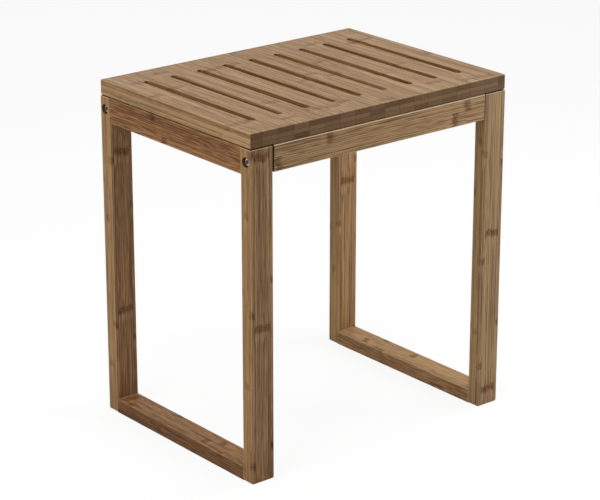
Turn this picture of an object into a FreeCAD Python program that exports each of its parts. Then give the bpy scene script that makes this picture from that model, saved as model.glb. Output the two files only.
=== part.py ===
import FreeCAD, Part
import os
import re
from math import pi

import Sketcher
from FreeCAD import Placement, Rotation, Vector

# A bamboo bath stool: two glued end frames, two aprons bolted between them and a slotted
# seat panel screwed down on top. Millimetres, +Z up, origin on the floor under the middle
# of the seat. X runs along the aprons, Y along the end frames, and -Y is the front.

# Driving dimensions, kept in the document's sheet.
SIZES = {
    # Whole stool
    "stool_height": 470.0,        # floor to the top of the seat
    "seat_width": 430.0,          # along X, flush with the end frames
    "seat_depth": 320.0,          # along Y, flush with the aprons
    # Seat panel
    "seat_thickness": 21.0,       # shadow gap included
    "seat_corner_radius": 3.0,    # upright corners
    "seat_top_radius": 1.5,
    "seat_bottom_radius": 1.0,
    "seat_gap": 1.2,              # seat's edge to the frame below it
    "seat_gap_depth": 6.0,        # rebate that makes that gap
    "slot_count": 9,
    "slot_width": 10.0,
    "slot_side_margin": 36.0,     # side of the seat to the first slot
    "slot_end_margin": 45.0,      # front or rear edge of the seat to the slots' ends
    "slot_edge_radius": 0.8,
    # Frame members
    "stock_thickness": 20.0,      # legs, rails and aprons are all planed to this
    "leg_width": 35.0,            # along X
    "rail_height": 35.0,          # top rails and aprons
    "arris_radius": 1.5,          # eased long edges
    "foot_radius": 3.0,           # edges that meet the floor
    "shadow_gap": 2.0,            # apron's shoulder to the leg
    "shadow_depth": 5.0,          # shoulder round the boss on the apron's end
    # Dowels
    "dowel_diameter": 6.0,
    "dowel_fit": 0.1,             # glue film all round
    "dowel_end_room": 0.5,        # glue room at each end
    "dowel_in_rail": 18.0,
    "dowel_cover": 8.0,           # wood left in the leg past a rail's dowel
    "dowel_clear": 10.0,          # wood left in the leg between apron and rail dowels
    "dowel_edge": 5.5,            # dowel's axis to the edge of a top rail or apron
    "bottom_dowel_edge": 8.5,     # dowel's axis to the side of a bottom rail
    # Bolts and barrel nuts
    "bolt_diameter": 6.0,
    "bolt_clearance": 1.0,        # hole over bolt, on the diameter
    "bolt_head_diameter": 10.0,
    "bolt_head_height": 6.0,
    "bolt_head_clearance": 3.2,   # counterbore over head, on the diameter
    "bolt_head_bevel": 0.6,
    "bolt_recess": 2.8,           # leg's face to the top of the head
    "bolt_past_nut": 2.8,         # tip beyond the nut
    "bolt_end_room": 4.0,         # hole beyond the tip
    "bolt_tip_bevel": 0.8,
    "socket_flats": 5.0,          # hexagon across flats
    "socket_depth": 3.0,
    "nut_diameter": 10.0,
    "nut_setback": 26.0,          # leg's inner face to the nut's axis
    "nut_inset": 2.5,             # apron's faces to the nut's ends
    "nut_fit": 0.1,               # room round the nut, and round the bolt inside it
    "nut_slot_width": 1.4,
    "nut_slot_depth": 1.5,
    # Seat screws
    "screw_diameter": 4.0,
    "screw_clearance": 0.5,       # hole in the rail over screw, on the diameter
    "screw_fit": 0.05,            # room round the thread in the seat
    "screw_head_diameter": 8.0,
    "screw_head_height": 2.5,
    "screw_head_clearance": 1.5,  # counterbore over head, on the diameter
    "screw_counterbore_depth": 12.0,
    "screw_cover": 7.0,           # wood left in the seat above the tip
    "screw_end_room": 1.0,        # pilot hole beyond the tip
    "screw_point": 1.6,           # bevel that makes the tip
    "screw_end_distance": 55.0,   # end of the top rail to the screw
    "cross_span": 4.4,            # cross recess in the screw's head
    "cross_width": 1.1,
    "cross_depth": 1.4,
}

# Sizes that follow from the driving dimensions.
DERIVED = {
    "leg_length": "stool_height - seat_thickness",
    "apron_length": "seat_width - 2 * leg_width",
    "rail_length": "seat_depth - 2 * stock_thickness",
    "band_height": "leg_length - rail_height / 2",
    "frame_x": "(seat_width - leg_width) / 2",
    "rail_x": "(seat_width - stock_thickness) / 2",
    "frame_y": "(seat_depth - stock_thickness) / 2",
    "slot_pitch": "(seat_width - 2 * slot_side_margin - slot_width) / (slot_count - 1)",
    "slot_length": "seat_depth - 2 * slot_end_margin",
    "dowel_bore": "dowel_diameter + 2 * dowel_fit",
    "dowel_in_leg": "stock_thickness - dowel_cover",
    "apron_dowel_in_leg": "leg_width - stock_thickness / 2 - dowel_diameter / 2 - dowel_clear",
    "dowel_spread": "rail_height - 2 * dowel_edge",
    "bottom_dowel_spread": "leg_width - 2 * bottom_dowel_edge",
    "counterbore": "bolt_head_diameter + bolt_head_clearance",
    "counterbore_depth": "bolt_recess + bolt_head_height",
    "bolt_bore": "bolt_diameter + bolt_clearance",
    "bolt_reach": "nut_setback + nut_diameter / 2 + bolt_past_nut",
    "bolt_length": "leg_width - counterbore_depth + bolt_reach",
    "nut_length": "stock_thickness - 2 * nut_inset",
    "nut_bore": "nut_diameter + 2 * nut_fit",
    "screw_y": "rail_length / 2 - screw_end_distance",
    "screw_in_seat": "seat_thickness - screw_cover",
    "screw_length": "rail_height - screw_counterbore_depth + screw_in_seat",
}

# Two places nearer than this are the same.
TOLERANCE = 0.01

doc = FreeCAD.newDocument("bath_stool")
sheet = doc.addObject("Spreadsheet::Sheet", "Sizes")
for row, (alias, number) in enumerate(SIZES.items(), start=1):
    sheet.set(f"A{row}", alias)
    sheet.set(f"B{row}", str(number))
    sheet.setAlias(f"B{row}", alias)
doc.recompute()

pieces = []


def formula(text):
    """Spell out a size formula: derived names are expanded, sheet names get their prefix."""

    def spell(match):
        name = match.group(0)
        if name in DERIVED:
            return f"({formula(DERIVED[name])})"
        return f"Sizes.{name}" if name in SIZES else name

    return re.sub(r"[a-z_]+", spell, text)


def bind(item, prop, text):
    item.setExpression(prop, formula(text))


def new_body(label, x, y, z, turn=0):
    """Start a piece at a place in the stool, turned about the upright axis."""
    body = doc.addObject("PartDesign::Body", label)
    body.Label = label
    body.Placement = Placement(Vector(), Rotation(Vector(0, 0, 1), turn))
    bind(body, "Placement.Base.x", x)
    bind(body, "Placement.Base.y", y)
    bind(body, "Placement.Base.z", z)
    pieces.append(body)
    return body


def new_sketch(body, role, across="0", up="0", out="0"):
    """A sketch on one of the body's own origin planes, moved in the plane and along its normal."""
    sketch = body.newObject("Sketcher::SketchObject", f"{body.Name}_sketch")
    planes = [item for item in body.Origin.OriginFeatures if item.Role == role]
    sketch.AttachmentSupport = [(planes[0], "")]
    sketch.MapMode = "FlatFace"
    bind(sketch, "AttachmentOffset.Base.x", across)
    bind(sketch, "AttachmentOffset.Base.y", up)
    bind(sketch, "AttachmentOffset.Base.z", out)
    return sketch


def constrain(sketch, kind, *references):
    return sketch.addConstraint(Sketcher.Constraint(kind, *references))


def dimension(sketch, text, kind, *references):
    """A dimension that follows a size formula."""
    start = float(sheet.evalExpression(formula(text)))
    index = constrain(sketch, kind, *references, start)
    bind(sketch, f"Constraints[{index}]", text)


def polygon(sketch, points):
    """A closed run of lines, as the list of their geometry numbers."""
    count = len(points)
    lines = []
    for i in range(count):
        line = Part.LineSegment(Vector(*points[i], 0), Vector(*points[(i + 1) % count], 0))
        lines.append(sketch.addGeometry(line))
    for i in range(count):
        constrain(sketch, "Coincident", lines[i], 2, lines[(i + 1) % count], 1)
    return lines


def rectangle(sketch, width, height):
    lines = polygon(sketch, [(-1, -1), (1, -1), (1, 1), (-1, 1)])
    for i, line in enumerate(lines):
        constrain(sketch, ("Horizontal", "Vertical")[i % 2], line)
    constrain(sketch, "Symmetric", lines[0], 1, lines[2], 1, -1, 1)
    dimension(sketch, width, "DistanceX", lines[0], 1, lines[0], 2)
    dimension(sketch, height, "DistanceY", lines[1], 1, lines[1], 2)


def circle(sketch, diameter):
    ring = sketch.addGeometry(Part.Circle(Vector(), Vector(0, 0, 1), 1))
    constrain(sketch, "Coincident", ring, 3, -1, 1)
    dimension(sketch, diameter, "Diameter", ring)


def circle_pair(sketch, diameter, spread, axis):
    """Two circles either side of the sketch's origin, along its X or Y axis."""
    step = Vector(1, 0, 0) if axis == "X" else Vector(0, 1, 0)
    low = sketch.addGeometry(Part.Circle(step * -2, Vector(0, 0, 1), 1))
    high = sketch.addGeometry(Part.Circle(step * 2, Vector(0, 0, 1), 1))
    constrain(sketch, "Symmetric", low, 3, high, 3, -1, 1)
    constrain(sketch, "PointOnObject", low, 3, -1 if axis == "X" else -2)
    constrain(sketch, "Equal", low, high)
    dimension(sketch, diameter, "Diameter", low)
    dimension(sketch, spread, f"Distance{axis}", low, 3, high, 3)


def hexagon(sketch, flats):
    corners = [(2, 0), (1, 1.7), (-1, 1.7), (-2, 0), (-1, -1.7), (1, -1.7)]
    lines = polygon(sketch, corners)
    ring = sketch.addGeometry(Part.Circle(Vector(), Vector(0, 0, 1), 2), True)
    constrain(sketch, "Coincident", ring, 3, -1, 1)
    for line in lines:
        constrain(sketch, "PointOnObject", line, 1, ring)
    for line in lines[1:]:
        constrain(sketch, "Equal", lines[0], line)
    constrain(sketch, "PointOnObject", lines[0], 1, -1)
    dimension(sketch, f"{flats} / cos(30)", "Diameter", ring)


def round_ended_slot(sketch, width, length):
    """A slot along the sketch's Y axis, centred on its origin."""
    z_axis = Vector(0, 0, 1)
    left = sketch.addGeometry(Part.LineSegment(Vector(-1, 2, 0), Vector(-1, -2, 0)))
    right = sketch.addGeometry(Part.LineSegment(Vector(1, -2, 0), Vector(1, 2, 0)))
    low_circle = Part.Circle(Vector(0, -2, 0), z_axis, 1)
    high_circle = Part.Circle(Vector(0, 2, 0), z_axis, 1)
    low = sketch.addGeometry(Part.ArcOfCircle(low_circle, pi, 2 * pi))
    high = sketch.addGeometry(Part.ArcOfCircle(high_circle, 0, pi))
    constrain(sketch, "Tangent", left, 2, low, 1)
    constrain(sketch, "Tangent", low, 2, right, 1)
    constrain(sketch, "Tangent", right, 2, high, 1)
    constrain(sketch, "Tangent", high, 2, left, 1)
    constrain(sketch, "Vertical", left)
    constrain(sketch, "Equal", low, high)
    constrain(sketch, "Symmetric", low, 3, high, 3, -1, 1)
    dimension(sketch, f"{width} / 2", "Radius", low)
    dimension(sketch, f"{length} - {width}", "DistanceY", low, 3, high, 3)


def round_over(sketch, radius, side, inner):
    """What a round-over cutter takes off a square corner that lies on the sketch's origin."""
    along_x = sketch.addGeometry(Part.LineSegment(Vector(), Vector(-side, 0, 0)))
    along_y = sketch.addGeometry(Part.LineSegment(Vector(), Vector(0, -inner, 0)))
    quarter = {(1, 1): 0, (-1, 1): 1, (-1, -1): 2, (1, -1): 3}[(side, inner)]
    curve = Part.Circle(Vector(-side, -inner, 0), Vector(0, 0, 1), 1)
    arc = sketch.addGeometry(Part.ArcOfCircle(curve, quarter * pi / 2, (quarter + 1) * pi / 2))
    x_end, y_end = (2, 1) if side == inner else (1, 2)
    constrain(sketch, "Coincident", along_x, 1, -1, 1)
    constrain(sketch, "Coincident", along_y, 1, -1, 1)
    constrain(sketch, "Horizontal", along_x)
    constrain(sketch, "Vertical", along_y)
    constrain(sketch, "Tangent", along_x, 2, arc, x_end)
    constrain(sketch, "Tangent", along_y, 2, arc, y_end)
    dimension(sketch, radius, "Radius", arc)


def pad(body, sketch, length, back=False):
    feature = body.newObject("PartDesign::Pad", f"{body.Name}_pad")
    feature.Profile = sketch
    feature.Reversed = back
    bind(feature, "Length", length)
    doc.recompute()


def pocket(body, sketch, depth, back=False):
    before = body.Shape.Volume
    feature = body.newObject("PartDesign::Pocket", f"{body.Name}_pocket")
    feature.Profile = sketch
    feature.Reversed = back
    bind(feature, "Length", depth)
    doc.recompute()
    if body.Shape.Volume >= before - TOLERANCE:
        raise RuntimeError(f"a pocket in {body.Label} cuts nothing")
    return feature


def ease(body, kind, prop, size, wanted):
    """Fillet or chamfer the edges whose bounding boxes the test wants."""
    base = body.Tip
    edges = [f"Edge{i}" for i, edge in enumerate(base.Shape.Edges, 1) if wanted(edge.BoundBox)]
    feature = body.newObject(f"PartDesign::{kind}", f"{body.Name}_{kind.lower()}")
    feature.Base = (base, edges)
    bind(feature, prop, size)
    doc.recompute()


def fillet(body, radius, wanted):
    ease(body, "Fillet", "Radius", radius, wanted)


def chamfer(body, size, wanted):
    ease(body, "Chamfer", "Size", size, wanted)


# Each side of a piece: origin plane, which way its normal points from that side, and
# whether a cut made there runs against the usual way.
SIDES = {
    "+X": ("YZ_Plane", 1, False),
    "-X": ("YZ_Plane", -1, True),
    "+Y": ("XZ_Plane", -1, True),
    "-Y": ("XZ_Plane", 1, False),
    "+Z": ("XY_Plane", 1, False),
    "-Z": ("XY_Plane", -1, True),
}


def cut_from(body, side, face, depth, draw, across="0", up="0"):
    """Cut into a piece from one side, whose face lies a given distance from its origin."""
    role, sign, back = SIDES[side]
    sketch = new_sketch(body, role, across, up, f"{sign} * ({face})")
    draw(sketch)
    return pocket(body, sketch, depth, back)


def bore(body, side, face, depth, diameter, across="0", up="0"):
    cut_from(body, side, face, depth, lambda sketch: circle(sketch, diameter), across, up)


def bore_pair(body, side, face, depth, diameter, spread, axis, across="0", up="0"):
    draw = lambda sketch: circle_pair(sketch, diameter, spread, axis)
    cut_from(body, side, face, depth, draw, across, up)


def make_seat():
    """The slotted seat panel, with its origin in the middle of its underside."""
    body = new_body("seat_panel", "0", "0", "leg_length")
    outline = new_sketch(body, "XY_Plane")
    rectangle(outline, "seat_width", "seat_depth")
    pad(body, outline, "seat_thickness")
    box = body.Tip.Shape.BoundBox
    fillet(body, "seat_corner_radius", lambda edge: edge.ZLength > box.ZLength / 2)
    fillet(body, "seat_top_radius", lambda edge: edge.ZMin > box.ZMax - TOLERANCE)

    def rebate(sketch):
        rectangle(sketch, "2 * seat_width", "2 * seat_depth")
        rectangle(sketch, "seat_width - 2 * seat_gap_depth", "seat_depth - 2 * seat_gap_depth")

    cut_from(body, "-Z", "0", "seat_gap", rebate)

    def lower_rim(edge):
        level = edge.ZLength < TOLERANCE and abs(edge.ZMin - sheet.seat_gap) < TOLERANCE
        outer_x = max(-edge.XMin, edge.XMax) > box.XMax - TOLERANCE
        outer_y = max(-edge.YMin, edge.YMax) > box.YMax - TOLERANCE
        return level and (outer_x or outer_y)

    fillet(body, "seat_bottom_radius", lower_rim)

    first_slot = "-slot_pitch * (slot_count - 1) / 2"
    draw = lambda sketch: round_ended_slot(sketch, "slot_width", "slot_length")
    slot = cut_from(body, "+Z", "seat_thickness", "seat_thickness", draw, across=first_slot)
    row = body.newObject("PartDesign::LinearPattern", "slot_row")
    row.Originals = [slot]
    row.Direction = (slot.Profile[0], ["H_Axis"])
    bind(row, "Length", "slot_pitch * (slot_count - 1)")
    bind(row, "Occurrences", "slot_count")
    body.Tip = row
    doc.recompute()
    reach_x = (box.XLength - 2 * sheet.slot_side_margin) / 2 + TOLERANCE
    reach_y = (box.YLength - 2 * sheet.slot_end_margin) / 2 + TOLERANCE

    def slot_mouth(edge):
        flat = edge.ZLength < TOLERANCE
        return flat and abs(edge.Center.x) < reach_x and abs(edge.Center.y) < reach_y

    fillet(body, "slot_edge_radius", slot_mouth)

    pilot = "screw_diameter + 2 * screw_fit"
    depth = "screw_in_seat + screw_end_room"
    for side in (-1, 1):
        draw = lambda sketch: circle_pair(sketch, pilot, "2 * screw_y", "Y")
        cut_from(body, "-Z", "0", depth, draw, across=f"{side} * rail_x")


def make_leg(name, side, end):
    """A leg, with its origin under its middle and its own +X towards the bolt's head."""
    turn = 0 if side > 0 else 180
    inner = -side * end
    body = new_body(f"{name}_leg", f"{side} * frame_x", f"{end} * frame_y", "0", turn)
    section = new_sketch(body, "XY_Plane")
    rectangle(section, "leg_width", "stock_thickness")
    pad(body, section, "leg_length")
    box = body.Tip.Shape.BoundBox

    def joins_rail(edge):
        return edge.YLength < TOLERANCE and edge.Center.y * inner > box.YMax - TOLERANCE

    fillet(body, "foot_radius", lambda edge: edge.ZMax < TOLERANCE and not joins_rail(edge))

    def outer_arris(edge):
        upright = edge.ZLength > box.ZLength / 2 and edge.Center.y * inner < 0
        return upright and abs(edge.Center.y) > box.YMax - TOLERANCE and edge.YLength < TOLERANCE

    fillet(body, "arris_radius", outer_arris)
    fillet(body, "arris_radius", lambda edge: edge.ZMin > box.ZMax - TOLERANCE and not joins_rail(edge))

    # The inner arrises are eased after glue-up, so they stop at the rails.
    for corner in (-1, 1):
        sketch = new_sketch(
            body,
            "XY_Plane",
            f"{corner} * leg_width / 2",
            f"{inner} * stock_thickness / 2",
            "stock_thickness",
        )
        round_over(sketch, "arris_radius", corner, inner)
        pocket(body, sketch, "leg_length - stock_thickness - rail_height", back=True)

    outer_face = "leg_width / 2"
    bore(body, "+X", outer_face, "leg_width", "bolt_bore", up="band_height")
    bore(body, "+X", outer_face, "counterbore_depth", "counterbore", up="band_height")

    depth = "apron_dowel_in_leg + dowel_end_room"
    bore_pair(body, "-X", outer_face, depth, "dowel_bore", "dowel_spread", "Y", up="band_height")

    rail_side = "+Y" if inner > 0 else "-Y"
    rail_face = "stock_thickness / 2"
    depth = "dowel_in_leg + dowel_end_room"
    rail_middle = "(leg_width - stock_thickness) / 2"
    bore_pair(
        body, rail_side, rail_face, depth, "dowel_bore", "dowel_spread", "Y", rail_middle, "band_height"
    )
    bore_pair(
        body, rail_side, rail_face, depth, "dowel_bore", "bottom_dowel_spread", "X", up="stock_thickness / 2"
    )


def make_rail(name, x, z, width, height, spread, axis):
    """A rail along Y between two legs, with its origin in its middle."""
    body = new_body(name, x, "0", z)
    section = new_sketch(body, "XZ_Plane", out="-rail_length / 2")
    rectangle(section, width, height)
    pad(body, section, "rail_length")
    box = body.Tip.Shape.BoundBox
    fillet(body, "arris_radius", lambda edge: edge.YLength > box.YLength / 2)
    depth = "dowel_in_rail + dowel_end_room"
    for side in ("-Y", "+Y"):
        bore_pair(body, side, "rail_length / 2", depth, "dowel_bore", spread, axis)
    return body


def make_top_rail(name, side):
    rail = make_rail(
        f"{name}_top_rail",
        f"{side} * rail_x",
        "band_height",
        "stock_thickness",
        "rail_height",
        "dowel_spread",
        "Y",
    )
    underside = "rail_height / 2"
    shank = "screw_diameter + screw_clearance"
    head = "screw_head_diameter + screw_head_clearance"
    bore_pair(rail, "-Z", underside, "rail_height", shank, "2 * screw_y", "Y")
    bore_pair(rail, "-Z", underside, "screw_counterbore_depth", head, "2 * screw_y", "Y")


def make_bottom_rail(name, side):
    make_rail(
        f"{name}_bottom_rail",
        f"{side} * frame_x",
        "stock_thickness / 2",
        "leg_width",
        "stock_thickness",
        "bottom_dowel_spread",
        "X",
    )


def make_apron(name, end):
    """An apron along X between two legs, with its origin in its middle."""
    body = new_body(f"{name}_apron", "0", f"{end} * frame_y", "band_height")
    section = new_sketch(body, "YZ_Plane", out="-apron_length / 2")
    rectangle(section, "stock_thickness", "rail_height")
    pad(body, section, "apron_length")
    box = body.Tip.Shape.BoundBox
    fillet(body, "arris_radius", lambda edge: edge.XLength > box.XLength / 2)

    def shoulder(sketch):
        rectangle(sketch, "2 * stock_thickness", "2 * rail_height")
        rectangle(sketch, "stock_thickness - 2 * shadow_depth", "rail_height - 2 * shadow_depth")

    half = "apron_length / 2"
    for side in ("-X", "+X"):
        cut_from(body, side, half, "shadow_gap", shoulder)
    shoulder_x = box.XMax - sheet.shadow_gap
    boss_y = box.YMax - sheet.shadow_depth
    boss_z = box.ZMax - sheet.shadow_depth

    def shoulder_rim(edge):
        at_shoulder = edge.XLength < TOLERANCE and abs(abs(edge.Center.x) - shoulder_x) < TOLERANCE
        outside_y = max(abs(edge.YMin), abs(edge.YMax)) > boss_y + TOLERANCE
        outside_z = max(abs(edge.ZMin), abs(edge.ZMax)) > boss_z + TOLERANCE
        return at_shoulder and (outside_y or outside_z)

    fillet(body, "arris_radius / 2", shoulder_rim)

    inside = "+Y" if end < 0 else "-Y"
    for side in (-1, 1):
        end_side = "+X" if side > 0 else "-X"
        bore(body, end_side, half, "bolt_reach + bolt_end_room", "bolt_bore")
        depth = "dowel_in_rail + dowel_end_room"
        bore_pair(body, end_side, half, depth, "dowel_bore", "dowel_spread", "Y")
        across = f"{side} * (apron_length / 2 - nut_setback)"
        bore(body, inside, "stock_thickness / 2", "stock_thickness - nut_inset", "nut_bore", across)


def make_dowels(name, role, x, y, z, turn, spread, axis, length, start):
    """The two dowels of one joint, as two solids, with their origin on the joint's face."""
    body = new_body(name, x, y, z, turn)
    body.AllowCompound = True
    sketch = new_sketch(body, role, out=start)
    circle_pair(sketch, "dowel_diameter", spread, axis)
    pad(body, sketch, length)
    along_x = role == "YZ_Plane"
    chamfer(
        body,
        "dowel_end_room",
        lambda edge: (edge.XLength if along_x else edge.YLength) < TOLERANCE,
    )


def make_joint_dowels(name, side, end):
    """Dowels of one leg: to its apron, its top rail and its bottom rail."""
    make_dowels(
        f"{name}_apron_dowels",
        "YZ_Plane",
        f"{side} * apron_length / 2",
        f"{end} * frame_y",
        "band_height",
        0 if side > 0 else 180,
        "dowel_spread",
        "Y",
        "dowel_in_rail + apron_dowel_in_leg",
        "-dowel_in_rail",
    )
    joint = f"{end} * rail_length / 2"
    turn = 0 if end > 0 else 180
    length = "dowel_in_rail + dowel_in_leg"
    make_dowels(
        f"{name}_top_rail_dowels",
        "XZ_Plane",
        f"{side} * rail_x",
        joint,
        "band_height",
        turn,
        "dowel_spread",
        "Y",
        length,
        "-dowel_in_leg",
    )
    make_dowels(
        f"{name}_bottom_rail_dowels",
        "XZ_Plane",
        f"{side} * frame_x",
        joint,
        "stock_thickness / 2",
        turn,
        "bottom_dowel_spread",
        "X",
        length,
        "-dowel_in_leg",
    )


def make_bolt(name, side, end):
    """A socket-head bolt, with its origin under its head and its own +X towards the head."""
    seat_x = f"{side} * (seat_width / 2 - counterbore_depth)"
    body = new_body(f"{name}_bolt", seat_x, f"{end} * frame_y", "band_height", 0 if side > 0 else 180)
    head = new_sketch(body, "YZ_Plane")
    circle(head, "bolt_head_diameter")
    pad(body, head, "bolt_head_height")
    shank = new_sketch(body, "YZ_Plane")
    circle(shank, "bolt_diameter")
    pad(body, shank, "bolt_length", back=True)
    box = body.Tip.Shape.BoundBox
    chamfer(body, "bolt_head_bevel", lambda edge: edge.XMin > box.XMax - TOLERANCE)
    chamfer(body, "bolt_tip_bevel", lambda edge: edge.XMax < box.XMin + TOLERANCE)
    draw = lambda sketch: hexagon(sketch, "socket_flats")
    cut_from(body, "+X", "bolt_head_height", "socket_depth", draw)


def make_barrel_nut(name, side, end):
    """A barrel nut across the apron, with its own +Y towards the inside of the stool."""
    x = f"{side} * (apron_length / 2 - nut_setback)"
    body = new_body(f"{name}_barrel_nut", x, f"{end} * frame_y", "band_height", 0 if end < 0 else 180)
    sketch = new_sketch(body, "XZ_Plane", out="-nut_length / 2")
    circle(sketch, "nut_diameter")
    pad(body, sketch, "nut_length")
    chamfer(body, "bolt_head_bevel", lambda edge: edge.YLength < TOLERANCE)
    bore(body, "+X", "nut_diameter / 2", "nut_diameter", "bolt_diameter + 2 * nut_fit")
    slot = lambda sketch: rectangle(sketch, "2 * nut_diameter", "nut_slot_width")
    cut_from(body, "+Y", "nut_length / 2", "nut_slot_depth", slot)


def make_seat_screw(name, side, end):
    """A wood screw up through a top rail, with its origin under its head."""
    z = "leg_length - rail_height + screw_counterbore_depth"
    body = new_body(f"{name}_seat_screw", f"{side} * rail_x", f"{end} * screw_y", z)
    head = new_sketch(body, "XY_Plane")
    circle(head, "screw_head_diameter")
    pad(body, head, "screw_head_height", back=True)
    box = body.Tip.Shape.BoundBox
    chamfer(body, "bolt_head_bevel", lambda edge: edge.ZMax < box.ZMin + TOLERANCE)
    shank = new_sketch(body, "XY_Plane")
    circle(shank, "screw_diameter")
    pad(body, shank, "screw_length")
    top = body.Tip.Shape.BoundBox.ZMax
    chamfer(body, "screw_point", lambda edge: edge.ZMin > top - TOLERANCE)
    for width, height in (("cross_span", "cross_width"), ("cross_width", "cross_span")):
        draw = lambda sketch: rectangle(sketch, width, height)
        cut_from(body, "-Z", "screw_head_height", "cross_depth", draw)


make_seat()
for side_name, side in (("left", -1), ("right", 1)):
    make_top_rail(side_name, side)
    make_bottom_rail(side_name, side)
    for end_name, end in (("front", -1), ("rear", 1)):
        corner_name = f"{side_name}_{end_name}"
        make_leg(corner_name, side, end)
        make_joint_dowels(corner_name, side, end)
        make_bolt(corner_name, side, end)
        make_barrel_nut(corner_name, side, end)
        make_seat_screw(corner_name, side, end)
make_apron("front", -1)
make_apron("rear", 1)
doc.recompute()

# Nothing is written unless every feature holds.
for item in doc.Objects:
    if "Invalid" in item.State or "Error" in item.State:
        raise RuntimeError(f"{item.Label} failed: {item.State}")
for piece in pieces:
    if piece.Shape.isNull() or not piece.Shape.isValid():
        raise RuntimeError(f"{piece.Label} has no valid shape")

os.makedirs("parts", exist_ok=True)
for piece in pieces:
    piece.Shape.exportStep(f"parts/{piece.Label}.step")
    print(piece.Label, len(piece.Shape.Solids), round(piece.Shape.Volume, 1))
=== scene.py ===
from functools import reduce

import bpy
import numpy as np
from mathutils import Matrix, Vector


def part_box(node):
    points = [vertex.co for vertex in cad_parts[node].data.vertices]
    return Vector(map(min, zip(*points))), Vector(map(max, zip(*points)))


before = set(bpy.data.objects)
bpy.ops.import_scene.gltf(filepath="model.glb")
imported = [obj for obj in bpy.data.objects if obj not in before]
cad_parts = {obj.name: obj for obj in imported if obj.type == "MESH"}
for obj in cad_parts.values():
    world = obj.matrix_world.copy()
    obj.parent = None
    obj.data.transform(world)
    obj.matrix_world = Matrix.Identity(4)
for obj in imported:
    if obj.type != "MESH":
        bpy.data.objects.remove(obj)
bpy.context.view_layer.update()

# Seat panel: a slab of bamboo strips about 25 mm wide, glued side by side in three layers with
# the fibres running front to back. Nine drain slots are routed through it, and it is sanded, oiled
# and screwed down on the end frames from below.
X, Y, Z = 0, 1, 2
MM_PER_METRE = 1000.0
WHITE = (255, 255, 255)


class Wire:
    """A socket in a material. Arithmetic on it adds the Math nodes that work it out."""

    def __init__(self, tree, socket=None):
        self.tree = tree
        self.socket = socket

    def node(self, kind, settings, sockets, output=0):
        """Add a node of a type, with its settings first, then its sockets' values or links."""
        node = self.tree.nodes.new(f"ShaderNode{kind}")
        for name, value in settings.items():
            if name == "stops":
                ramp = node.color_ramp
                ramp.interpolation = "CONSTANT"
                for _ in value[2:]:
                    ramp.elements.new(1.0)
                for element, (place, colour) in zip(ramp.elements, value):
                    element.position = place
                    element.color = colour
            else:
                setattr(node, name, value)
        for key, value in sockets.items():
            if isinstance(value, Wire):
                self.tree.links.new(value.socket, node.inputs[key])
            else:
                node.inputs[key].default_value = value
        return Wire(self.tree, node.outputs[output] if node.outputs else None)

    def output(self, name):
        """Another output of the same node."""
        return Wire(self.tree, self.socket.node.outputs[name])

    def math(self, operation, *values):
        return self.node("Math", {"operation": operation}, dict(enumerate(values)))

    def vector(self, operation, *values):
        return self.node("VectorMath", {"operation": operation}, dict(enumerate(values)))

    def scaled(self, factor):
        return self.node("VectorMath", {"operation": "SCALE"}, {0: self, "Scale": factor})

    def step(self, start, end):
        """A smooth rise from 0 at start to 1 at end, where end may also be the lower one."""
        sockets = {"Value": self, "From Min": start, "From Max": end}
        return self.node("MapRange", {"interpolation_type": "SMOOTHSTEP"}, sockets)

    def __add__(self, other):
        return self.math("ADD", self, other)

    def __radd__(self, other):
        return self.math("ADD", other, self)

    def __sub__(self, other):
        return self.math("SUBTRACT", self, other)

    def __rsub__(self, other):
        return self.math("SUBTRACT", other, self)

    def __mul__(self, other):
        return self.math("MULTIPLY", self, other)

    def __rmul__(self, other):
        return self.math("MULTIPLY", other, self)

    def __truediv__(self, other):
        return self.math("DIVIDE", self, other)

    def __rtruediv__(self, other):
        return self.math("DIVIDE", other, self)

    def __abs__(self):
        return self.math("ABSOLUTE", self)


def smallest(wires):
    return reduce(lambda a, b: a.math("MINIMUM", a, b), wires)


def largest(wires):
    return reduce(lambda a, b: a.math("MAXIMUM", a, b), wires)


def split_axes(vector):
    """The X, Y and Z of a vector as three wires."""
    first = vector.node("SeparateXYZ", {}, {0: vector}, "X")
    return [first, first.output("Y"), first.output("Z")]


def turned_to(facing, axis, start=0.5, full=0.9):
    """1 where the surface faces along an axis, either way, fading to 0 as it turns aside."""
    return abs(facing[axis]).step(start, full)


def srgb(colour, tint=WHITE):
    """A colour as a screen shows it, 0 to 255, under a tint, as the linear one a shader takes."""
    part = np.array([colour, tint]) / 255
    linear = np.where(part <= 0.04045, part / 12.92, ((part + 0.055) / 1.055) ** 2.4)
    return (*linear.prod(0).tolist(), 1.0)


def mix(under, over, share, blend="MIX"):
    """One colour with a share of another laid over it. Sockets 6 and 7 of a Mix node take its
    colours, and output 2 gives the mixed one."""
    settings = {"data_type": "RGBA", "blend_type": blend}
    return share.node("Mix", settings, {0: share, 6: under, 7: over}, 2)


def tinted(colour, tint, share):
    """A colour with a share of a tint multiplied into it."""
    return mix(colour, srgb(tint), share, "MULTIPLY")


def finish_piece(piece, name, build):
    """Give a CAD node a new material, whose sockets the build function works out."""
    material = bpy.data.materials.new(name)
    material.use_nodes = True
    material.node_tree.nodes.clear()
    start = Wire(material.node_tree)
    place = start.node("TexCoord", {}, {}, "Object").scaled(MM_PER_METRE)
    shader = start.node("BsdfPrincipled", {}, build(place))
    start.node("OutputMaterial", {}, {"Surface": shader})
    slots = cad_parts[piece].data.materials
    slots.clear()
    slots.append(material)


# Bamboo's colours as a screen shows them, and the tints that multiply a colour
PALE_FIBRE = (178, 141, 98)
DEEP_FIBRE = (108, 76, 46)
GLUE_BROWN = (74, 50, 30)
# Painted highlight laid along the boards' edges, brightest where they face up
EDGE_HIGHLIGHT = (222, 194, 157)
KNUCKLE_TINT = (222, 209, 197)
SPECK_TINT = (188, 172, 159)
# End grain darker than the faces, made darker still as painted shade in the gaps at the apron ends
END_GRAIN_AND_GAP_SHADE_TINT = (110, 95, 85)

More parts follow.
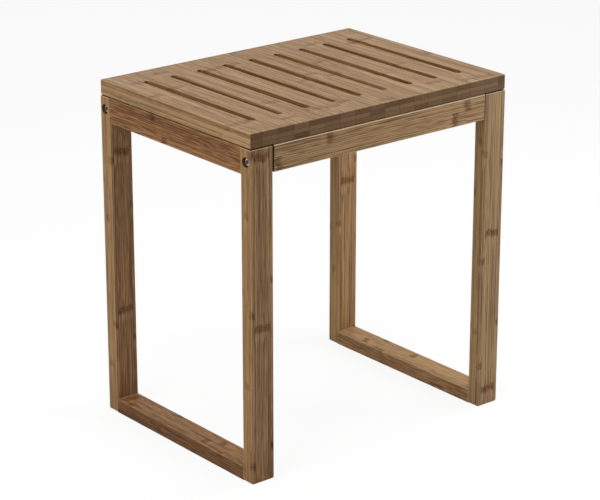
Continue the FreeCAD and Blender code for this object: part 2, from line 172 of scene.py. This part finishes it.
# Growth of the cane, in millimetres
INTERNODE_RANGE = (190, 290)
LONGEST_INTERNODE = 400.0
WOBBLE_REACH = 10.0
RAGGED_REACH = 11.0
PALE_BAND_OFFSET = 11.0
PLAIN_SWAY = 0.8
FLARE_SWAY = 4.0

# Patterns of fibres: width and length in millimetres, and octaves of detail
BROAD_BAND = (7.0, 300.0, 2.0)
SHORT_DASH = (0.9, 26.0, 1.0)
VEIN = (2.0, 260.0, 0.0)
VEIN_BREAK = (2.5, 70.0, 1.0)
DARK_SPECK = (1.3, 2.2, 2.0)
FIBRE_DRIFT = (14.0, 140.0, 1.0)
KNUCKLE_WOBBLE = (9.0, 60.0, 1.0)
FIBRE_BUNDLE = (1.5, 30.0)
STREAK_LENGTH = 300.0
STREAK_DETAIL = 1.0
STRIP_SHIFT = (310.0, 570.0, 430.0)

# Where a pattern starts to show and where it shows in full, as levels of its noise
MIDDLE = 0.5
VEIN_LEVELS = (0.07, 0.01)
VEIN_BREAK_LEVELS = (0.4, 0.6)
BUNDLE_LEVELS = (0.42, 0.12)
SPECK_LEVELS = (0.48, 0.6)

# Where a mark starts to show and where it shows in full, in millimetres from its middle
KNUCKLE_BAND = (6.5, 3.2)
KNUCKLE_FLARE = (30.0, 4.0)
PALE_BAND = (9.0, 0.0)
GLUE_LINE = (0.5, 0.1)
EDGE_HIGHLIGHT_BAND = (1.9, 0.8)

# How much a mark adds to the depth of colour, and how much of it shows where it is weaker
STREAK_DEPTH = 2.1
VEIN_DEPTH = 0.4
LONG_LINE_MEAN = 0.07
DASH_DEPTH = 2.2
BUNDLE_DEPTH = 0.3
SHORT_LINE_MEAN = 0.08
PALE_BAND_LIFT = 0.12
END_CONTRAST = 5.0
END_LINE_LOSS = 0.6
END_GRAIN_START = 0.55
EDGE_KNUCKLE_SHARE = 0.5
LOW_EDGE_HIGHLIGHT_SHARE = 0.25
FACING_UP = (0.0, 0.5)
GLUE_SHARE = 0.4
END_GLUE_SHARE = 0.3

# Shine and relief of sanded and oiled bamboo: fibres and knuckles stand up, pores and glue lie low
OILED_GLOSS = 0.12
OILED_ROUGHNESS = 0.44
DASH_DULLING = 0.12
END_DULLING = 0.15
KNUCKLE_DULLING = 0.1
FILM_ROUGHNESS = 0.35
DASH_RISE = 0.4
STREAK_RISE = 0.3
KNUCKLE_RISE = 0.6
BUNDLE_DIP = 0.4
GLUE_DIP = 0.5
FIBRE_RELIEF = {"Strength": 0.35, "Distance": 0.0003}


def bamboo(board, grain, across, strips, layers, seed, tint=WHITE, end_tint=END_GRAIN_AND_GAP_SHADE_TINT,
           fibre=(PALE_FIBRE, DEEP_FIBRE), shades=None, layer_shades=None, spread=0.12,
           flat_depth=0.0, knuckles=None, knuckle_share=1.0, broad_share=0.1, streak_share=1.0,
           streak_width=0.75, dash_share=0.5, edge_highlight_share=0.6, gloss=OILED_GLOSS, oil_film=0.0,
           paint=None):
    """Solid bamboo glued up from strips, worked out through the whole board in millimetres.

    grain is the axis of the fibres and across the axis along which the strips lie side by side.
    The layers are stacked along the third. strips and layers are widths from the board's low side.

    The depth of colour goes from 0 to 1, the pale and the deep colour of fibre under the tint.
    shades gives it for a (strip, layer). The others spread about their layer's one, and flat_depth
    is added on the strips' flats. For a (strip, layer), knuckles gives the place of one knuckle
    along the grain and the distance between knuckles.

    The shares say how strongly knuckles, broad bands, streaks and the painted highlight on the
    edges show. dash_share is how much of the streaks is short dashes rather than long lines, and
    oil_film the most that the oil coats pale fibres. paint takes the places, the way the surface
    faces and the colour, and gives a new colour.
    """
    shades = shades or {}
    knuckles = knuckles or {}
    layer_shades = layer_shades or [MIDDLE] * len(layers)
    stack = X + Y + Z - grain - across
    low, high = (np.array(corner) * MM_PER_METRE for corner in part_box(board))
    centre = ((low + high) / 2).tolist()
    half = ((high - low) / 2).tolist()
    grain_start = float(low[grain])
    strip_edges = (low[across] + np.cumsum(strips)[:-1]).tolist()
    layer_edges = (low[stack] + np.cumsum(layers)[:-1]).tolist()
    rng = np.random.default_rng(seed)

    def strip_look(strip, layer):
        """Shade, place of the first knuckle, own number and knuckle distance of one strip."""
        usual = layer_shades[layer]
        shade, own = rng.uniform((usual - spread, 0.0), (usual + spread, 1.0))
        shade = shades.get((strip, layer), shade)
        distance = rng.uniform(*INTERNODE_RANGE)
        first, distance = knuckles.get((strip, layer), (rng.uniform(0, distance), distance))
        first = (first - grain_start) % distance
        return shade, first / LONGEST_INTERNODE, own, distance / LONGEST_INTERNODE

    def strip_at(axes):
        """The same four values for the strip that a place is in, as wires."""
        passed = [axes[across].math("GREATER_THAN", axes[across], edge) for edge in strip_edges]
        strip_place = (sum(passed) + MIDDLE) / len(strips)
        ramps = []
        for layer in range(len(layers)):
            stops = [(i / len(strips), strip_look(i, layer)) for i in range(len(strips))]
            ramps.append(strip_place.node("ValToRGB", {"stops": stops}, {0: strip_place}, "Color"))
        look = ramps[0]
        distance = look.output("Alpha")
        for ramp, edge in zip(ramps[1:], layer_edges):
            above = axes[stack].math("GREATER_THAN", axes[stack], edge)
            look = mix(look, ramp, above)
            distance = distance + (ramp.output("Alpha") - distance) * above
        shade = look.node("SeparateColor", {}, {0: look}, "Red")
        first = shade.output("Green") * LONGEST_INTERNODE
        return shade, first, shade.output("Blue"), distance * LONGEST_INTERNODE

    def past_knuckle(axes, first, distance):
        """How far a place is past the strip's nearest knuckle, along the grain."""
        turns = (axes[grain] - grain_start - first) / distance
        return (turns - turns.math("ROUND", turns)) * distance

    def glue_lines(axes):
        """1 on the glue between strips and between layers."""
        gaps = [abs(axes[across] - edge) for edge in strip_edges]
        gaps += [abs(axes[stack] - edge) for edge in layer_edges]
        return smallest(gaps).step(*GLUE_LINE)

    def painted_edge_highlight(axes, facing):
        """Painted highlight: 1 at edges that face up, and less at others. Near an edge, two faces
        of the board's box are close."""
        inside = [half[i] - abs(axes[i] - centre[i]) for i in (X, Y, Z)]
        edge_highlight = (sum(inside) - largest(inside)).step(*EDGE_HIGHLIGHT_BAND)
        return edge_highlight * (LOW_EDGE_HIGHLIGHT_SHARE + facing[Z].step(*FACING_UP) * (1.0 - LOW_EDGE_HIGHLIGHT_SHARE))

    def build(place):
        axes = split_axes(place)
        facing = split_axes(place.node("TexCoord", {}, {}, "Normal"))
        ends = turned_to(facing, grain, END_GRAIN_START)
        flats = turned_to(facing, stack)
        shade, first, own, distance = strip_at(axes)
        offset = own.node("CombineXYZ", {}, {i: own * STRIP_SHIFT[i] for i in (X, Y, Z)})

        def drawn_out(position, width, length):
            """Places squeezed along the grain, so that a pattern there is drawn out along it."""
            scale = np.full(3, 1 / width)
            scale[grain] = 1 / length
            squeezed = position.vector("MULTIPLY", position, scale.tolist())
            return squeezed.vector("ADD", squeezed, offset)

        def fibres(position, width, length, detail):
            """Noise that shows as lines on the long faces and as specks on the cut ends."""
            sockets = {"Vector": drawn_out(position, width, length), "Scale": 1.0, "Detail": detail}
            return position.node("TexNoise", {}, sockets)

        # Fibres wander a little, and flare beside a knuckle
        wobble = (fibres(place, *KNUCKLE_WOBBLE) - MIDDLE) * WOBBLE_REACH
        gap = past_knuckle(axes, first, distance) + wobble
        drift = fibres(place, *FIBRE_DRIFT).output("Color")
        sway = PLAIN_SWAY + abs(gap).step(*KNUCKLE_FLARE) * FLARE_SWAY
        swayed = drift.vector("SUBTRACT", drift, (MIDDLE, MIDDLE, MIDDLE)).scaled(sway)
        wandering = place.vector("ADD", place, swayed)
        broad = fibres(wandering, *BROAD_BAND)
        streaks = fibres(wandering, streak_width, STREAK_LENGTH, STREAK_DETAIL)
        dashes = fibres(wandering, *SHORT_DASH)
        broken = fibres(wandering, *VEIN_BREAK).step(*VEIN_BREAK_LEVELS)
        veins = abs(fibres(wandering, *VEIN) - MIDDLE).step(*VEIN_LEVELS) * broken
        bundle_sockets = {"Vector": drawn_out(wandering, *FIBRE_BUNDLE), "Scale": 1.0}
        bundles = place.node("TexVoronoi", {}, bundle_sockets, "Distance").step(*BUNDLE_LEVELS)

        # Knuckles are ragged warm bands with dark specks, strongest on the strips' flats
        ragged = abs(gap + (streaks - MIDDLE) * RAGGED_REACH)
        on_flats = EDGE_KNUCKLE_SHARE + flats * (1.0 - EDGE_KNUCKLE_SHARE)
        knuckle = ragged.step(*KNUCKLE_BAND) * on_flats * knuckle_share
        specks = knuckle * fibres(place, *DARK_SPECK).step(*SPECK_LEVELS)
        paler = abs(gap + PALE_BAND_OFFSET).step(*PALE_BAND) * (PALE_BAND_LIFT * knuckle_share)

        # Strips differ more on the cut ends, where the oil sinks in, and lines show less there
        contrast = 1.0 + ends * END_CONTRAST
        depth = MIDDLE + (shade - MIDDLE) * contrast + flats * flat_depth - paler
        long_lines = (streaks - MIDDLE) * STREAK_DEPTH + veins * VEIN_DEPTH - LONG_LINE_MEAN
        short_lines = (dashes - MIDDLE) * DASH_DEPTH + bundles * BUNDLE_DEPTH - SHORT_LINE_MEAN
        lines = long_lines * (2.0 - 2.0 * dash_share) + short_lines * (2.0 * dash_share)
        lines = lines * streak_share + (broad - MIDDLE) * broad_share
        depth = (depth + lines * (1.0 - ends * END_LINE_LOSS)).step(0.0, 1.0)

        pale, deep = fibre
        glue = glue_lines(axes)
        # Painted highlight along the edges, strongest where they face up
        edge_highlight = painted_edge_highlight(axes, facing) * (1.0 - ends) * edge_highlight_share
        colour = mix(srgb(pale, tint), srgb(deep, tint), depth)
        colour = tinted(colour, KNUCKLE_TINT, knuckle)
        colour = tinted(colour, SPECK_TINT, specks)
        colour = mix(colour, srgb(GLUE_BROWN, tint), glue * (GLUE_SHARE + ends * END_GLUE_SHARE))
        colour = tinted(colour, end_tint, ends)
        colour = mix(colour, srgb(EDGE_HIGHLIGHT, tint), edge_highlight)
        if paint:
            colour = paint(axes, facing, colour)

        dulling = dashes * DASH_DULLING + ends * END_DULLING + knuckle * KNUCKLE_DULLING
        raised = dashes * DASH_RISE + streaks * STREAK_RISE + knuckle * KNUCKLE_RISE
        height = raised - bundles * BUNDLE_DIP - glue * GLUE_DIP
        finish = {
            "Base Color": colour,
            "Roughness": OILED_ROUGHNESS + dulling,
            "Specular IOR Level": gloss,
            "Normal": height.node("Bump", {}, {"Height": height, **FIBRE_RELIEF}),
        }
        if oil_film:
            finish["Coat Weight"] = (1.0 - depth) * (1.0 - ends) * oil_film
            finish["Coat Roughness"] = FILM_ROUGHNESS
        return finish

    finish_piece(board, f"{board}_bamboo", build)


SEAT_STRIPS = [18.75] + [24.85] * 16 + [13.65]
SEAT_LAYERS = [7.7, 5.8, 7.5]
SEAT_SEED = 221542
SEAT_TINT = (249, 250, 239)
SEAT_END_TINT = (172, 160, 141)
SEAT_FIBRE = ((174, 141, 103), (115, 78, 37))
SEAT_GLOSS = 0.27
SEAT_LAYER_SHADES = [0.50, 0.455, 0.525]
SEAT_SHADES = {
    (0, 0): 0.53, (0, 1): 0.52, (3, 0): 0.57, (8, 1): 0.54, (9, 0): 0.46, (17, 1): 0.54,
}
SEAT_KNUCKLES = {
    (0, 2): (-115, 163), (1, 2): (-115, 230), (2, 2): (64, 225), (3, 2): (135, 269),
    (4, 2): (-66, 240), (5, 2): (106, 230), (6, 2): (106, 236), (7, 2): (106, 228),
    (8, 2): (-15, 240), (9, 2): (5, 154), (11, 2): (44, 230), (13, 2): (-128, 250),
    (14, 2): (-30, 235), (15, 2): (-146, 240), (16, 2): (-146, 244), (17, 2): (-15, 230),
}
RIND_TINT = (230, 215, 197)
RIND_FADE = 1.0
PALE_SIDE_REACH = 6.0
PALE_SIDE_SHARE = 0.6
SLOTS_REACH = (190.0, 122.0)
# Painted shade on the slots' walls, deepening from 1 to 7 mm down
SLOT_SHADE_TINT = (220, 203, 195)
SLOT_SHADE_DEPTHS = (1.0, 7.0)
UPRIGHT = (0.8, 0.3)


def worked_seat(axes, facing, colour):
    """The outer strips' sides, dark with rind in the top layer and pale under it, and the slots'
    walls, with painted shade that deepens down the slots."""
    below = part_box("seat_panel")[1][Z] * MM_PER_METRE - axes[Z]
    top_layer = SEAT_LAYERS[-1]
    side = turned_to(facing, X)
    rind = below.step(top_layer, top_layer - RIND_FADE)
    pale = below.step(top_layer + PALE_SIDE_REACH, top_layer + RIND_FADE) * (1.0 - rind)
    colour = mix(colour, srgb(PALE_FIBRE), side * pale * PALE_SIDE_SHARE)
    colour = tinted(colour, RIND_TINT, side * rind)
    within = [abs(axes[i]).math("LESS_THAN", abs(axes[i]), SLOTS_REACH[i]) for i in (X, Y)]
    wall = abs(facing[Z]).step(*UPRIGHT) * within[X] * within[Y]
    # Painted shade on the slots' walls, deeper further down
    return tinted(colour, SLOT_SHADE_TINT, wall * below.step(*SLOT_SHADE_DEPTHS))


bamboo("seat_panel", Y, X, SEAT_STRIPS, SEAT_LAYERS, SEAT_SEED, tint=SEAT_TINT,
       end_tint=SEAT_END_TINT, fibre=SEAT_FIBRE, shades=SEAT_SHADES, layer_shades=SEAT_LAYER_SHADES,
       spread=0.035, flat_depth=0.17, knuckles=SEAT_KNUCKLES, knuckle_share=0.6, broad_share=0.7,
       streak_share=0.75, streak_width=0.8, dash_share=0.3, edge_highlight_share=0.15, gloss=SEAT_GLOSS,
       oil_film=0.2, paint=worked_seat)

# Legs: square-edged bamboo posts, 35 by 20 mm, with a wide strip on the broad faces and thin
# strips at its sides. They are doweled and glued to the rails, and the bolts pass through them.
LEG_STRIPS = [5.0, 24.5, 5.5]
LEG_LAYERS = [5.5, 9.0, 5.5]
LEG_SEED = 11
LEGS = {
    "left_front": {
        "tint": (233, 233, 239),
        "flat_depth": 0.235,
        "streak_share": 0.95,
        "dash_share": 0.3,
        "shades": {(0, 0): 0.41, (0, 1): 0.25, (0, 2): 0.25, (1, 0): 0.41, (2, 0): 0.38},
        "knuckles": {
            (0, 0): (25, 208), (0, 1): (134, 228), (0, 2): (15, 244), (1, 0): (212, 225),
            (2, 0): (47, 227),
        },
    },
    "left_rear": {
        "tint": (236, 235, 238),
        "flat_depth": 0.33,
        "streak_share": 0.9,
        "dash_share": 0.3,
        "shades": {(0, 0): 0.31, (0, 1): 0.29, (0, 2): 0.29, (1, 0): 0.44, (2, 0): 0.44},
        "knuckles": {(0, 0): (129, 233), (0, 1): (69, 210), (0, 2): (93, 240), (1, 0): (148, 224)},
    },
    "right_front": {
        "tint": (236, 246, 255),
        "flat_depth": 0.0,
        "streak_share": 1.0,
        "dash_share": 0.2,
        "shades": {(0, 0): 0.53, (0, 1): 0.27, (0, 2): 0.27, (1, 0): 0.39, (2, 0): 0.43},
        "knuckles": {(0, 0): (59, 153), (1, 0): (25, 227), (2, 0): (120, 230)},
    },
    "right_rear": {
        "tint": WHITE,
        "flat_depth": 0.1,
        "streak_share": 1.0,
        "dash_share": 0.2,
        "shades": {(0, 0): 0.35, (0, 1): 0.35, (0, 2): 0.35, (1, 0): 0.45, (2, 0): 0.45},
        "knuckles": {(0, 0): (187, 215), (1, 0): (251, 245)},
    },
}
LEG_SIDE_TINT = {
    "left_front": (255, 250, 232),
    "left_rear": (255, 255, 250),
    "right_front": (255, 250, 241),
    "right_rear": WHITE,
}
FOOT_TINT = (242, 239, 236)
FOOT_REACH = 80.0
COUNTERBORE_RADIUS = 6.6
COUNTERBORE_BLEED = 0.4
# Painted shade on the wall of the counterbore around the bolt's head
BORE_SHADE = (88, 62, 40)


def from_bolt_axis(axes, corner):
    """How far a place is from the axis of a corner's bolt, which runs along X."""
    middle = (np.mean(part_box(f"{corner}_bolt"), axis=0) * MM_PER_METRE).tolist()
    sideways = axes[Y] - middle[Y]
    upwards = axes[Z] - middle[Z]
    square = sideways * sideways + upwards * upwards
    return square.math("SQRT", square)


def counterbored(corner):
    """The paint of one leg: the strips at its sides have their own tint, the foot is a little
    darker towards the floor, and the wall of the hole for the bolt's head is painted dark as shade."""

    def paint(axes, facing, colour):
        colour = tinted(colour, LEG_SIDE_TINT[corner], turned_to(facing, X))
        # Darker towards the floor, over the lowest 80 mm
        colour = tinted(colour, FOOT_TINT, axes[Z].step(FOOT_REACH, 0.0))
        bleed_radius = COUNTERBORE_RADIUS + COUNTERBORE_BLEED
        # Painted shade in the counterbore, by distance from the bolt's axis
        hole = from_bolt_axis(axes, corner).step(bleed_radius, COUNTERBORE_RADIUS)
        return mix(colour, srgb(BORE_SHADE), hole)

    return paint


for seed, (corner, look) in enumerate(LEGS.items(), start=LEG_SEED):
    bamboo(f"{corner}_leg", Z, X, LEG_STRIPS, LEG_LAYERS, seed, paint=counterbored(corner), **look)

# Aprons: boards along the long sides of the seat, each glued up from two strips on edge and
# bolted between the legs, with a shadow gap at each end.
APRON_STRIPS = [19.0, 16.0]
APRON_LAYERS = [7.0, 6.0, 7.0]
APRON_SEED = 21
APRON_TINT = (243, 249, 255)
APRON_SHADES = {(0, 0): 0.45, (1, 0): 0.51}
APRON_KNUCKLES = {"front": {(0, 0): (-171, 296), (1, 0): (-90, 237)}, "rear": {}}
for seed, end in enumerate(APRON_KNUCKLES, start=APRON_SEED):
    bamboo(f"{end}_apron", X, Z, APRON_STRIPS, APRON_LAYERS, seed, tint=APRON_TINT,
           shades=APRON_SHADES, knuckles=APRON_KNUCKLES[end], streak_share=0.95, dash_share=0.4,
           edge_highlight_share=1.0)

# Top rails: boards under the ends of the seat, glued up from narrow strips that show more of
# their edges, doweled and glued between the two legs of an end frame.
TOP_RAIL_STRIPS = [9.0, 8.0, 9.0, 9.0]
TOP_RAIL_LAYERS = [7.0, 6.0, 7.0]
TOP_RAIL_SEED = 31
TOP_RAIL_TINT = (224, 205, 189)
TOP_RAILS = {
    "left": {
        # The upper strips are the darkest: part their own tone, part painted shade under the seat
        "shades": {(0, 0): 0.49, (1, 0): 0.58, (2, 0): 0.70, (3, 0): 0.84},
        "knuckles": {
            (0, 0): (19, 240), (1, 0): (-160, 320), (2, 0): (-160, 320), (3, 0): (43, 230),
        },
    },
    "right": {},
}
for seed, (side, look) in enumerate(TOP_RAILS.items(), start=TOP_RAIL_SEED):
    bamboo(f"{side}_top_rail", Y, Z, TOP_RAIL_STRIPS, TOP_RAIL_LAYERS, seed, tint=TOP_RAIL_TINT,
           streak_share=1.35, edge_highlight_share=0.1, **look)

# Bottom rails: the legs' stock laid flat on the floor between the legs of an end frame, doweled
# and glued to them.
BOTTOM_RAIL_STRIPS = [5.0, 12.0, 12.5, 5.5]
BOTTOM_RAIL_LAYERS = [6.0, 8.0, 6.0]
BOTTOM_RAIL_SEED = 41
BOTTOM_RAILS = {
    "left": {
        "tint": (217, 204, 195),
        "streak_share": 1.9,
        "shades": {
            (0, 0): 0.76, (0, 1): 0.56, (0, 2): 0.48, (1, 2): 0.42, (2, 2): 0.26, (3, 2): 0.16,
        },
        # Both strips have a knuckle at the rear end: real knuckles, also placed there to stand in
        # for shade beside the rear leg
        "knuckles": {(1, 2): (-48, 179), (2, 2): (-70, 198)},
    },
    "right": {
        "tint": WHITE,
        "streak_share": 1.0,
        "shades": {
            (0, 0): 0.58, (0, 1): 0.58, (0, 2): 0.58, (1, 2): 0.28, (2, 2): 0.26, (3, 2): 0.26,
        },
        "knuckles": {(1, 2): (89, 225), (2, 2): (0, 300)},
    },
}
BOTTOM_RAIL_EDGE_TINT = {"left": (206, 193, 169), "right": (247, 239, 235)}


def edged(side):
    """The paint of one bottom rail: strips with darker rind lie along its two edges."""

    def paint(axes, facing, colour):
        return tinted(colour, BOTTOM_RAIL_EDGE_TINT[side], turned_to(facing, X))

    return paint


for seed, (side, look) in enumerate(BOTTOM_RAILS.items(), start=BOTTOM_RAIL_SEED):
    bamboo(f"{side}_bottom_rail", Y, X, BOTTOM_RAIL_STRIPS, BOTTOM_RAIL_LAYERS, seed,
           edge_highlight_share=0.3, paint=edged(side), **look)

# Dowels: turned pins of pale wood, glued into the legs and the ends of the rails and aprons.
# They only show through the shadow gaps.
DOWEL_PALE = (196, 164, 122)
DOWEL_DEEP = (158, 122, 82)
DOWEL_GRAIN_SCALE = (0.1, 0.1, 1.6)
DOWEL_GRAIN = {"Scale": 1.0, "Detail": 3.0}
DOWEL_ROUGHNESS = 0.55
DOWEL_GRAIN_DULLING = 0.15


def dowel_wood(place):
    """Fine straight grain, drawn out along both level axes because the dowels run along either."""
    squeezed = place.vector("MULTIPLY", place, DOWEL_GRAIN_SCALE)
    grain = place.node("TexNoise", {}, {"Vector": squeezed, **DOWEL_GRAIN})
    return {
        "Base Color": mix(srgb(DOWEL_PALE), srgb(DOWEL_DEEP), grain),
        "Roughness": DOWEL_ROUGHNESS + grain * DOWEL_GRAIN_DULLING,
    }


for corner in LEGS:
    for joint in ("apron", "top_rail", "bottom_rail"):
        finish_piece(f"{corner}_{joint}_dowels", "dowel_wood", dowel_wood)

# Bolts, barrel nuts and screws: turned steel with a thin zinc plating. The bolts lie in
# counterbores in the legs, the nuts in the aprons, and the screws in the top rails.
STEEL_BRIGHT = (206, 206, 204)
STEEL_DULL = (150, 150, 152)
ZINC_ROUGHNESS = 0.2
CLOUD = {"Scale": 0.35, "Detail": 3.0}
CLOUD_LEVELS = (0.3, 0.7)
CLOUD_DULLING = 0.15
SCRATCH = {"Scale": 4.0, "Detail": 4.0}
SCRATCH_RELIEF = {"Strength": 0.15, "Distance": 0.0001}
# Painted shade down in the bolts' hex sockets
SOCKET_SHADE = (112, 108, 104)
SOCKET_SHADE_EDGE = (2.9, 2.6)
SOCKET_SHADE_METAL_LOSS = 0.5
SOCKET_SHADE_DULLING = 0.3


def zinc_plated(place):
    """Cloudy plating with fine scratches that catch the light, as sockets of a shader."""
    cloud = place.node("TexNoise", {}, {"Vector": place, **CLOUD}).step(*CLOUD_LEVELS)
    scratch = place.node("TexNoise", {}, {"Vector": place, **SCRATCH})
    return {
        "Base Color": mix(srgb(STEEL_BRIGHT), srgb(STEEL_DULL), cloud),
        "Metallic": 1.0,
        "Roughness": ZINC_ROUGHNESS + cloud * CLOUD_DULLING,
        "Normal": scratch.node("Bump", {}, {"Height": scratch, **SCRATCH_RELIEF}),
    }


def socketed(corner):
    """The finish of one bolt: plated, with painted shade down in the key's hexagon."""

    def build(place):
        # Painted shade in the hexagon socket
        socket_shade = from_bolt_axis(split_axes(place), corner).step(*SOCKET_SHADE_EDGE)
        finish = zinc_plated(place)
        finish["Base Color"] = mix(finish["Base Color"], srgb(SOCKET_SHADE), socket_shade)
        finish["Metallic"] = 1.0 - socket_shade * SOCKET_SHADE_METAL_LOSS
        finish["Roughness"] = finish["Roughness"] + socket_shade * SOCKET_SHADE_DULLING
        return finish

    return build


for corner in LEGS:
    finish_piece(f"{corner}_bolt", f"{corner}_bolt_steel", socketed(corner))
    for fastener in ("barrel_nut", "seat_screw"):
        finish_piece(f"{corner}_{fastener}", "zinc_plated_steel", zinc_plated)

# Studio: a plain white floor under a soft even sky, with broad square softboxes overhead, on the
# left and on the right, all turned to the middle of the stool. Places and sizes are in metres.
FLOOR_REACH = 12.0
PURE_WHITE = (1.0, 1.0, 1.0, 1.0)
FLOOR_BOUNCE = (0.7, 0.7, 0.7, 1.0)
FLOOR_GLOW = 0.88
SKY_LEVEL = 0.33
STOOL_MIDDLE = Vector((0, 0, 0.3))
SOFTBOXES = {
    "overhead_softbox": {"place": (0.0, 0.0, 3.0), "size": 2.0, "watts": 31.0},
    "left_softbox": {"place": (-2.2, -0.6, 2.0), "size": 1.6, "watts": 39.0},
    "right_softbox": {"place": (1.2, -0.5, 0.6), "size": 0.8, "watts": 12.8},
}


def seen_directly(start):
    """1 for the rays that show a surface: from the camera, or by way of metal or glass."""
    path = start.node("LightPath", {}, {}, "Is Camera Ray")
    return largest([path, path.output("Is Glossy Ray"), path.output("Is Transmission Ray")])


def set_up(name, data, place, gaze):
    """Put a lamp or a camera at a place, looking along a direction."""
    item = bpy.data.objects.new(name, data)
    item.location = place
    item.rotation_mode = "QUATERNION"
    item.rotation_quaternion = gaze.to_track_quat("-Z", "Y")
    bpy.context.scene.collection.objects.link(item)
    return item


floor_corners = np.array([(-1, -1, 0), (1, -1, 0), (1, 1, 0), (-1, 1, 0)]) * FLOOR_REACH
floor_mesh = bpy.data.meshes.new("studio_floor")
floor_mesh.from_pydata(floor_corners.tolist(), [], [(0, 1, 2, 3)])
floor = bpy.data.objects.new("studio_floor", floor_mesh)
bpy.context.scene.collection.objects.link(floor)
floor_paint = bpy.data.materials.new("studio_floor_paint")
floor_paint.use_nodes = True
floor_paint.node_tree.nodes.clear()
floor_start = Wire(floor_paint.node_tree)
seen = seen_directly(floor_start)
matt = floor_start.node("BsdfDiffuse", {}, {"Color": mix(FLOOR_BOUNCE, PURE_WHITE, seen)})
glow = floor_start.node("Emission", {}, {"Color": PURE_WHITE, "Strength": 1.0})
coat = floor_start.node("MixShader", {}, {0: seen * FLOOR_GLOW, 1: matt, 2: glow})
floor_start.node("OutputMaterial", {}, {"Surface": coat})
floor_mesh.materials.append(floor_paint)

world = bpy.data.worlds.new("studio_sky")
bpy.context.scene.world = world
world.use_nodes = True
world.node_tree.nodes.clear()
sky_start = Wire(world.node_tree)
sky_light = SKY_LEVEL + seen_directly(sky_start) * (1.0 - SKY_LEVEL)
sky = sky_start.node("Background", {}, {"Color": PURE_WHITE, "Strength": sky_light})
sky_start.node("OutputWorld", {}, {"Surface": sky})

for name, softbox in SOFTBOXES.items():
    lamp = bpy.data.lights.new(name, "AREA")
    lamp.size = softbox["size"]
    lamp.energy = softbox["watts"]
    set_up(name, lamp, softbox["place"], STOOL_MIDDLE - Vector(softbox["place"]))

# Camera: a long lens about 3 m from the stool, in front of its left front corner, where the
# photograph was taken from, looking down at the seat. The place is in metres.
CAMERA_PLACE = (-1.8887, -2.3008, 1.2973)
CAMERA_YAW = np.radians(50.71)
CAMERA_PITCH = np.radians(19.77)
CAMERA_LENS_MM = 140.28
SENSOR_MM = 36.0
camera_data = bpy.data.cameras.new("photo_camera")
camera_data.lens = CAMERA_LENS_MM
camera_data.sensor_width = SENSOR_MM
level_reach = np.cos(CAMERA_PITCH)
camera_gaze = Vector((
    level_reach * np.cos(CAMERA_YAW),
    level_reach * np.sin(CAMERA_YAW),
    -np.sin(CAMERA_PITCH),
))
camera = set_up("photo_camera", camera_data, CAMERA_PLACE, camera_gaze)
bpy.context.scene.camera = camera
bpy.context.scene.view_settings.view_transform = "Standard"
